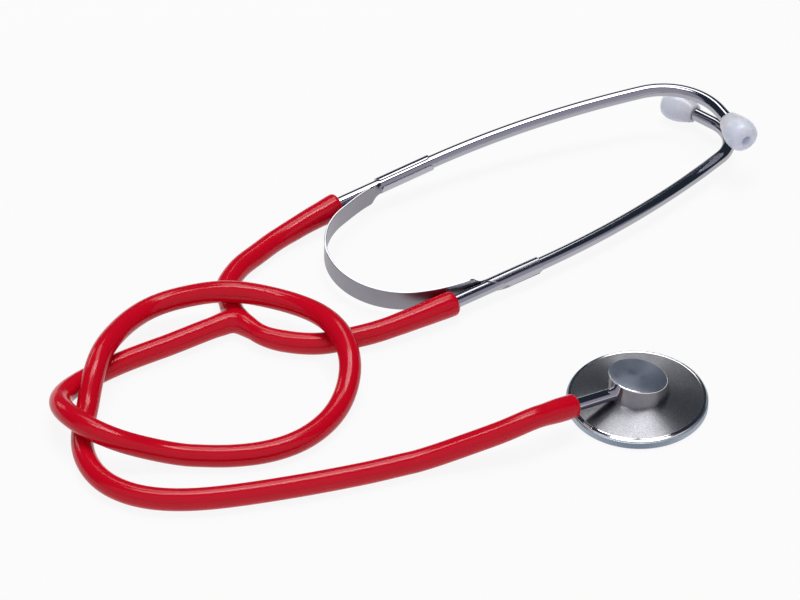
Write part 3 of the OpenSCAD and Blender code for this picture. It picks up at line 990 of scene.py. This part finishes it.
@dataclass
class LeafSpring:
    """The sheet-metal spring: two legs of one band and two rolled ends."""

    arms: dict
    palette: Palette
    band_h: float = 7.8
    band_t: float = 0.7
    crown_r: float = 27.25
    crown_reach: float = 37.6
    crown_shift: float = 0.5
    crown_half_turn: float = 80.0
    roll_len: float = 21.5
    roll_wall: float = 0.55
    roll_start: float = 2.0
    play: float = 0.04
    corner: float = 1.6
    bevel: float = 0.12
    sweep: float = 6.5
    seam: dict = field(
        default_factory=lambda: {Side.RIGHT: (212.0, 16.0), Side.LEFT: (52.0, 57.0)}
    )
    neck_low: dict = field(default_factory=lambda: {Side.RIGHT: 1.3, Side.LEFT: 3.0})
    neck_top: dict = field(default_factory=lambda: {Side.RIGHT: 2.3, Side.LEFT: 0.6})

    def roll_r(self, side: Side) -> tuple:
        """The rolled end's inner and outer radius."""
        inner = self.arms[side].tube_r + self.play
        return inner, inner + self.roll_wall

    def band_frame(self) -> Matrix:
        """The band's frame: X along the headset, Z across the band."""
        arm, other = self.arms[Side.LEFT], self.arms[Side.RIGHT]
        tilt = math.atan((arm.datum_z - other.datum_z) / (2 * arm.half_gap))
        return (
            Matrix.Translation(arm.middle)
            @ spin(arm.headset_heading, "Z")
            @ Matrix.Translation((0, 0, (arm.datum_z + other.datum_z) / 2))
            @ Matrix.Rotation(tilt, 4, "X")
        )

    def leg_line(self, side: Side) -> Array:
        """The leg's middle line from the crown to its rolled end."""
        arm, s = self.arms[side], side.value
        centre, toe = self.crown_r - self.crown_reach, math.radians(arm.toe_in)
        inner, outer = self.roll_r(side)
        r, shift = self.crown_r, s * self.crown_shift
        points = [
            (centre - r * math.cos(a), r * math.sin(a) - shift, 0.0)
            for a in np.radians(np.linspace(0, self.crown_half_turn - 8, 12))
        ]
        gap = arm.half_gap - self.roll_start * math.sin(toe) - (inner + outer) / 2
        points.append((-s * arm.stagger + self.roll_start, gap, 0.0))
        line = Route(points, (0, 1, 0), (math.cos(toe), -math.sin(toe), 0)).sample(0.7)
        line[:, 1] *= s
        return line

    def make_leg(self, side: Side) -> None:
        """Makes one half of the band, narrowing to a neck that hugs the tube."""
        line = self.leg_line(side)
        runs = runs_along(line)
        inner, outer = self.roll_r(side)
        middle_r = (inner + outer) / 2
        along = np.gradient(line, axis=0)
        along /= np.linalg.norm(along, axis=1)[:, None]
        outward = np.cross(along, (0, 0, 1)) * -side.value
        loops = []
        for point, out, rest in zip(line, outward, runs[-1] - runs):
            shoulder = 1 - float(smooth_step(rest, 0.8, 5.2))
            low = -self.band_h / 2 + self.neck_low[side] * shoulder
            high = self.band_h / 2 - self.neck_top[side] * shoulder
            hug = 1 - float(smooth_step(rest, 0.0, 4.5))
            t = self.band_t + (self.roll_wall - self.band_t) * hug
            loops.append(point + self._section(out, (low, high), t, hug, middle_r))
        loops = moved(np.array(loops), self.band_frame())
        piece = skin(f"spring_leg_{side.word}", loops, crease=40)
        add_materials(piece, self.palette.spring, self.palette.chrome)
        up = self.band_frame().to_3x3() @ Vector((0, 0, 1))
        for face in piece.data.polygons:
            face.material_index = int(abs(face.normal.dot(up)) > 0.5)
        dress(piece, self.palette.spring)
        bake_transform(piece)
        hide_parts("spring_band")

    def _section(
        self, out: Array, span: tuple, thick: float, hug: float, middle_r: float
    ) -> Array:
        """Draws one closed section of the band about its middle.

        Args:
            out: the direction away from the tube.
            span: the heights of its lower and upper edge.
            thick: its thickness.
            hug: 0 where it is flat, 1 where it is curved round the tube.
            middle_r: the radius of that curve.

        Returns:
            The section's points.
        """
        heights = np.linspace(*span, 9)
        heights[[1, -2]] = span[0] + self.bevel, span[1] - self.bevel
        half = np.full(len(heights), thick / 2)
        half[[0, -1]] *= 0.6
        across = np.concatenate([half, -half])
        height = np.concatenate([heights, heights[::-1]])
        angle, reach = height / middle_r, middle_r - across
        curved = np.array([middle_r - reach * np.cos(angle), reach * np.sin(angle)])
        off, up = np.array([across, height]) * (1 - hug) + curved * hug
        return np.outer(off, out) + np.outer(up, (0, 0, 1))

    def make_roll(self, side: Side) -> None:
        """Makes a rolled end, with its open seam and rounded corners."""
        centre, width = self.seam[side]
        inner, outer = self.roll_r(side)
        corner, bevel = self.corner, self.bevel
        angles = np.linspace(centre + width / 2, centre + 360 - width / 2, 90)
        loops = []
        for degrees in angles:
            angle = math.radians(degrees)
            edge = math.radians(min(degrees - angles[0], angles[-1] - degrees)) * outer
            inset = corner - math.sqrt(corner**2 - max(0.0, corner - edge) ** 2)
            back = self.roll_start + inset + self._sweep_back(side, degrees)
            front = self.roll_start + self.roll_len - inset
            middle = (back + front) / 2
            section = (
                (back, outer - bevel), (back + bevel, outer), (middle, outer),
                (front - bevel, outer), (front, outer - bevel), (front, inner),
                (middle, inner), (back, inner),
            )
            loops.append([(x, r * math.cos(angle), r * math.sin(angle)) for x, r in section])
        loops = moved(np.array(loops), self.arms[side].matrix())
        piece = skin(f"spring_roll_{side.word}", loops, crease=40)
        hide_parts(f"{side.word}_spring_sleeve")
        dress(piece, self.palette.rolled, f"{side.word}_arm")

    def _sweep_back(self, side: Side, degrees: float) -> float:
        """How far the rolled end's rear edge runs forward towards its seam."""
        if side is Side.LEFT:
            return 0.0
        upper = float(smooth_step(degrees - 360, 75, 200))
        lower = float(smooth_step(360 - degrees, 55, 140))
        return self.sweep * max(upper, lower)

    def make(self) -> None:
        """Makes both halves."""
        for side in self.arms:
            self.make_leg(side)
            self.make_roll(side)


# The head


@dataclass
class Head:
    """The turned head, its stem, the knurled ring and the diaphragm."""

    palette: Palette
    ring_r: float = 24.0
    ring_h: float = 2.6
    thread_r: float = 22.2
    lip_h: float = 0.6
    lip_w: float = 2.0
    spigot_r: float = 22.12
    seat_z: float = 0.95
    rim_z: float = 2.65
    rim_r: float = 23.5
    cone_r: float = 22.8
    cone_z: float = 3.45
    boss_r: float = 10.0
    boss_z: float = 5.75
    boss_h: float = 6.4
    slant: float = 11.5
    tooth_count: int = 340
    tooth_width: float = 0.3
    stem_start: float = 3.0
    stem_bore_r: float = 1.6
    stem_grip: float = 10.0

    def upright(self) -> Matrix:
        """A frame whose X stands on the head's axis."""
        return spin(-90, "Y")

    def make_body(self) -> None:
        """Turns the head with its beaded rim, cone and dish."""
        rise = (self.boss_z - self.cone_z) / (self.cone_r - self.boss_r)
        seat, rim, cone, top = self.seat_z, self.rim_z, self.cone_z, self.boss_z + 0.1
        spigot_r, rim_r, cone_r, boss_r = self.spigot_r, self.rim_r, self.cone_r, self.boss_r
        outline = [
            (seat + 1.2, 0.0), (seat + 1.2, 1.7), (seat + 0.2, spigot_r - 2.4),
            (seat, spigot_r - 2.3), (seat, spigot_r), (rim, spigot_r), (rim, rim_r - 0.15),
            (rim + 0.12, rim_r), (rim + 0.4, rim_r), (rim + 0.52, rim_r - 0.1),
            (cone - 0.14, cone_r + 0.16), (cone - 0.18, cone_r + 0.05), (cone - 0.18, cone_r - 0.1),
            (cone + 0.02, cone_r - 0.18), (cone + 0.09, cone_r - 0.35), (cone + 0.06, cone_r - 0.5),
            (cone + 0.06, cone_r - 0.6),
        ]
        for r in np.linspace(cone_r - 1.2, boss_r + 0.6, 24):
            outline.append((cone + rise * (cone_r - r), r))
        outline += [(self.boss_z + 0.02, boss_r + 0.2), (top, boss_r - 0.2), (top, 0.0)]
        piece = turned("head_turned", outline, self.upright(), 256, 30)
        add_materials(piece, self.palette.turned, self.palette.bright, self.palette.dark)
        for face in piece.data.polygons:
            z = face.center.z / MM
            r = face.center.xy.length / MM
            # The rim and bead take the lighter plate, which is a painted highlight on the polished
            # edge.
            if r > cone_r - 0.45:
                face.material_index = 1
            # The groove's faces take the near-black plate, which is painted shade in the groove.
            if cone_r - 0.16 < r < cone_r + 0.1 and z > rim + 0.3:
                face.material_index = 2
        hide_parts("head_body")
        dress(piece, self.palette.turned, ROOT_BODY)

    def make_boss(self, hose: Hose) -> None:
        """Makes the boss, with a slanted top and a thin bright edge."""
        slope = math.tan(math.radians(self.slant))
        turn = math.radians(hose.stem_heading)
        base, top = self.boss_z - 0.3, self.boss_z + self.boss_h
        r = self.boss_r
        sides = [(r, base), (r, base + 0.2)]
        tops = [
            (r, -0.4), (r, -0.28), (r - 0.08, -0.12), (r - 0.22, -0.02), (r - 0.35, 0.0),
            (r - 3, 0.0), (r / 2, 0.0), (1.0, 0.0),
        ]
        turns = [(math.cos(a), math.sin(a)) for a in round_angles(160)]
        loops = [[(r * x, r * y, level) for x, y in turns] for r, level in sides]
        dx, dy = slope * math.cos(turn), slope * math.sin(turn)
        for r, drop in tops:
            loops.append([(r * x, r * y, top + drop + r * (x * dx + y * dy)) for x, y in turns])
        piece = skin("head_boss", np.array(loops), crease=30)
        add_materials(piece, self.palette.boss_side, self.palette.boss_top)
        for face in piece.data.polygons:
            flat = face.normal.z > 0.9 and face.center.z > (self.boss_z + 1) * MM
            face.material_index = 1 if flat else 0
        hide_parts("head_body")
        dress(piece, self.palette.boss_side, ROOT_BODY)

    def make_stem(self, hose: Hose) -> None:
        """Makes the stem as a plated tube."""
        length = hose.stem_reach - self.stem_start + self.stem_grip
        r, bore = hose.stem_r, self.stem_bore_r
        outline = [(0, bore), (0, r)] + [(x, r) for x in np.linspace(1, length, 12)]
        outline += [(length, bore), (0, bore)]
        piece = turned("head_pipe", outline, hose.stem_frame(self.stem_start), 64)
        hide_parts("chest_stem")
        dress(piece, self.palette.chrome, ROOT_BODY)

    def make_ring(self) -> None:
        """Turns the ring and sets its knurl with Geometry Nodes."""
        root_r = self.ring_r - 0.2
        inner = self.thread_r - self.lip_w
        outline = [
            (0.0, inner + 0.1), (0.0, root_r - 0.35), (0.12, root_r - 0.1), (0.3, root_r),
            (self.ring_h - 0.3, root_r), (self.ring_h - 0.1, root_r - 0.1),
            (self.ring_h, root_r - 0.3), (self.ring_h, self.thread_r), (self.lip_h, self.thread_r),
            (self.lip_h, inner), (0.1, inner), (0.0, inner + 0.1),
        ]
        piece = turned("head_ring", outline, self.upright(), 200, 30)
        add_materials(piece, self.palette.knurl)
        tree = self.knurl_tree()
        modifier = piece.modifiers.new("knurl", "NODES")
        modifier.node_group = tree
        values = {
            "Teeth": self.tooth_count,
            "Root radius": root_r * MM,
            "Tooth width": self.tooth_width * MM,
            "Tooth height": (self.ring_h - 0.55) * MM,
            "Middle": self.ring_h / 2 * MM,
        }
        for item in tree.interface.items_tree:
            if item.item_type == "SOCKET" and item.name in values:
                modifier[item.identifier] = values[item.name]
        piece = plain_mesh(piece, modifier)
        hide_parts("diaphragm_ring")
        dress(piece, self.palette.knurl, "ring_body")

    def knurl_tree(self) -> bpy.types.NodeTree:
        """Builds the tree that sets straight teeth round the ring."""
        group = bpy.data.node_groups.new("straight_knurl", "GeometryNodeTree")
        kinds = {"Geometry": "Geometry", "Teeth": "Int", "Root radius": "Float"}
        kinds |= {"Tooth width": "Float", "Tooth height": "Float", "Middle": "Float"}
        new_socket = group.interface.new_socket
        for name, kind in kinds.items():
            new_socket(name, in_out="INPUT", socket_type=f"NodeSocket{kind}")
        new_socket("Geometry", in_out="OUTPUT", socket_type="NodeSocketGeometry")
        tree = Tree(group)
        given = tree.add("NodeGroupInput").outputs
        circle = tree.add(
            "GeometryNodeMeshCircle", {"Vertices": given["Teeth"], "Radius": given["Root radius"]}
        )
        width = given["Tooth width"]
        inputs = {"X": width, "Y": width, "Z": given["Tooth height"]}
        size = tree.add("ShaderNodeCombineXYZ", inputs)
        cube = tree.add("GeometryNodeMeshCube", {"Size": size.outputs["Vector"]})
        tooth = tree.add(
            "GeometryNodeTransform",
            {"Geometry": cube.outputs["Mesh"], "Rotation": (0, 0, math.pi / 4)},
        )
        position = tree.add("GeometryNodeInputPosition").outputs["Position"]
        align = tree.add("FunctionNodeAlignRotationToVector", {"Vector": position}, axis="X")
        inputs = {
            "Points": circle.outputs["Mesh"],
            "Instance": tooth.outputs["Geometry"],
            "Rotation": align.outputs["Rotation"],
        }
        teeth = tree.add("GeometryNodeInstanceOnPoints", inputs).outputs["Instances"]
        real = tree.add("GeometryNodeRealizeInstances", {"Geometry": teeth}).outputs["Geometry"]
        lift = tree.add("ShaderNodeCombineXYZ", {"Z": given["Middle"]}).outputs["Vector"]
        raised = tree.add("GeometryNodeTransform", {"Geometry": real, "Translation": lift})
        join = tree.add("GeometryNodeJoinGeometry", {"Geometry": given["Geometry"]})
        group.links.new(raised.outputs["Geometry"], join.inputs["Geometry"])
        whole = join.outputs["Geometry"]
        finish = tree.add(
            "GeometryNodeSetMaterial", {"Geometry": whole, "Material": self.palette.knurl}
        )
        tree.add("NodeGroupOutput", {"Geometry": finish.outputs["Geometry"]})
        return group

    def make(self, hose: Hose) -> None:
        """Makes the head's pieces.

        Args:
            hose: the hose, which says where the stem runs.
        """
        self.make_body()
        self.make_boss(hose)
        self.make_stem(hose)
        self.make_ring()


# The studio


@dataclass
class Studio:
    """The table, the sky, the lamps and the camera."""

    target: tuple = (-79.94, 54.52, 0.0)
    distance: float = 1560.0
    elevation: float = 39.5
    lens: float = 202.5
    floor_half: float = 3000.0
    strip_turn: float = math.radians(26.0)
    strip_middle: tuple = (0.23, 0.295)
    strip_half: tuple = (0.15, 0.375)
    strip_edge: tuple = (0.9, 1.06)
    strip_colour: tuple = (1.4, 1.4, 1.4)
    wall_stops: tuple = (
        (0.0, (0.25, 0.235, 0.275)),
        (0.36, (0.2, 0.19, 0.225)),
        (0.42, (0.012, 0.017, 0.024)),
        (1.0, (0.012, 0.017, 0.024)),
    )
    sky_strength: float = 2.6
    floor_colour: tuple = (0.8, 0.8, 0.81)
    floor_glow: float = 0.9

    def make_camera(self) -> None:
        """Sets the camera at the picture's viewing angle."""
        data = bpy.data.cameras.new("camera")
        data.lens = self.lens
        data.sensor_width = 36.0
        data.clip_start, data.clip_end = 0.05, 50.0
        camera = add_object("camera", data)
        lift = math.radians(self.elevation)
        back = Vector((0, -math.cos(lift), math.sin(lift)))
        camera.location = (Vector(self.target) + back * self.distance) * MM
        camera.rotation_euler = (math.pi / 2 - lift, 0, 0)
        bpy.context.scene.camera = camera

    def make_floor(self) -> None:
        """Lays the pale table top, white to the camera but with a soft shadow."""
        h = self.floor_half * MM
        mesh = bpy.data.meshes.new("table_top")
        mesh.from_pydata([(-h, -h, 0), (h, -h, 0), (h, h, 0), (-h, h, 0)], [], [(0, 1, 2, 3)])
        floor = add_object("table_top", mesh)
        floor.location.z = -0.05 * MM
        graph = Graph("pale_table")
        matt = graph.add("ShaderNodeBsdfDiffuse", {"Color": opaque(self.floor_colour)})
        glow = graph.add("ShaderNodeEmission", {"Color": WHITE})
        path = graph.add("ShaderNodeLightPath").outputs
        seen = graph.number("MAXIMUM", path["Is Camera Ray"], path["Is Glossy Ray"])
        seen = graph.number("MAXIMUM", seen, path["Is Transmission Ray"])
        share = graph.number("MULTIPLY", seen, self.floor_glow)
        inputs = {"Fac": share, 1: matt.outputs[0], 2: glow.outputs[0]}
        graph.show(graph.add("ShaderNodeMixShader", inputs))
        mesh.materials.append(graph.material)

    def make_sky(self) -> None:
        """Gives the studio a long ceiling light in a dark room, grey behind the camera."""
        world = bpy.data.worlds.new("studio")
        bpy.context.scene.world = world
        world.use_nodes = True
        tree = Tree(world.node_tree)
        tree.tree.nodes.clear()
        place = tree.add("ShaderNodeTexCoord").outputs["Generated"]
        (x, y), (width, length) = self.strip_middle, self.strip_half
        turn = {"Rotation": (0.0, 0.0, -self.strip_turn), "Location": (-x, -y, 0.0)}
        local = tree.add("ShaderNodeMapping", {"Vector": place, **turn}).outputs["Vector"]
        scaled = tree.vector("MULTIPLY", local, (1 / width, 1 / length, 0.0)).outputs["Vector"]
        size = tree.vector("ABSOLUTE", scaled).outputs["Vector"]
        parts = tree.add("ShaderNodeSeparateXYZ", {"Vector": size}).outputs
        reach = tree.number("MAXIMUM", parts["X"], parts["Y"])
        strip = tree.fit(reach, self.strip_edge, (1.0, 0.0))
        whole = tree.add("ShaderNodeSeparateXYZ", {"Vector": place}).outputs
        half = tree.fit(whole["Y"], (-1.0, 1.0), (0.0, 1.0))
        wall = tree.add("ShaderNodeValToRGB", {"Fac": half})
        elements = wall.color_ramp.elements
        while len(elements) < len(self.wall_stops):
            elements.new(0.5)
        for element, (position, colour) in zip(elements, self.wall_stops):
            element.position, element.color = position, opaque(colour)
        lit = tree.mix(strip, wall.outputs["Color"], opaque(self.strip_colour))
        room = tree.add("ShaderNodeBackground", {"Color": lit, "Strength": self.sky_strength})
        white = tree.add("ShaderNodeBackground", {"Color": WHITE})
        path = tree.add("ShaderNodeLightPath").outputs
        inputs = {"Fac": path["Is Camera Ray"], 1: room.outputs[0], 2: white.outputs[0]}
        shown = tree.add("ShaderNodeMixShader", inputs)
        tree.add("ShaderNodeOutputWorld", {"Surface": shown.outputs[0]})

    def add_lamp(self, name: str, place: tuple, size: tuple, power: float) -> None:
        """Hangs a soft box that looks at the object.

        Args:
            name: the lamp's name.
            place: where it hangs, in millimetres.
            size: its width and height, in millimetres.
            power: its power in watts.
        """
        data = bpy.data.lights.new(name, "AREA")
        data.shape = "RECTANGLE"
        data.size, data.size_y = size[0] * MM, size[1] * MM
        data.energy = power
        lamp = add_object(name, data)
        lamp.location = Vector(place) * MM
        aim = Vector(self.target) * MM - lamp.location
        lamp.rotation_euler = aim.to_track_quat("-Z", "Y").to_euler()

    def make_lamps(self) -> None:
        """Hangs the overhead soft box and the side lamp."""
        self.add_lamp("overhead", (-120, 300, 1700), (1100, 420), 10.5)
        self.add_lamp("left_fill", (-1250, 1150, 620), (500, 600), 2.0)

    def make(self) -> None:
        """Builds the studio."""
        self.make_floor()
        self.make_sky()
        self.make_lamps()


def main() -> None:
    """Builds the stethoscope around its frame."""
    logging.basicConfig(level=logging.INFO, format="%(name)s: %(message)s")
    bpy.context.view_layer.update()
    bpy.context.scene.view_settings.view_transform = "Standard"
    studio = Studio()
    studio.make_camera()
    palette = Palette()
    palette.dress_frame(frame["nodes"])
    arms = {
        Side.LEFT: Arm(
            Side.LEFT, datum_z=8.1, rise=6.1, roll=-2.4, toe_in=1.5, straight=20.0, long_r=314.0,
            long_turn=15.4, short_r=24.4, bend_turn=77.5, end_len=5.4, cuff_mouth=14.3,
            cuff_shift=0.6, cuff_bend=0.00435,
        ),
        Side.RIGHT: Arm(
            Side.RIGHT, datum_z=5.1, rise=0.7, roll=-0.8, toe_in=2.5, straight=22.0, long_r=340.0,
            long_turn=15.1, short_r=14.6, bend_turn=89.0, end_len=8.5, cuff_mouth=12.1,
            cuff_shift=0.3, cuff_bend=0.0022,
        ),
    }
    hose = Hose(palette)
    hose.make(arms)
    for arm in arms.values():
        ear_tube = EarTube(arm, palette)
        ear_tube.make_tube()
        ear_tube.make_tip()
    LeafSpring(arms, palette).make()
    Head(palette).make(hose)
    studio.make()


if __name__ == "__main__":
    main()
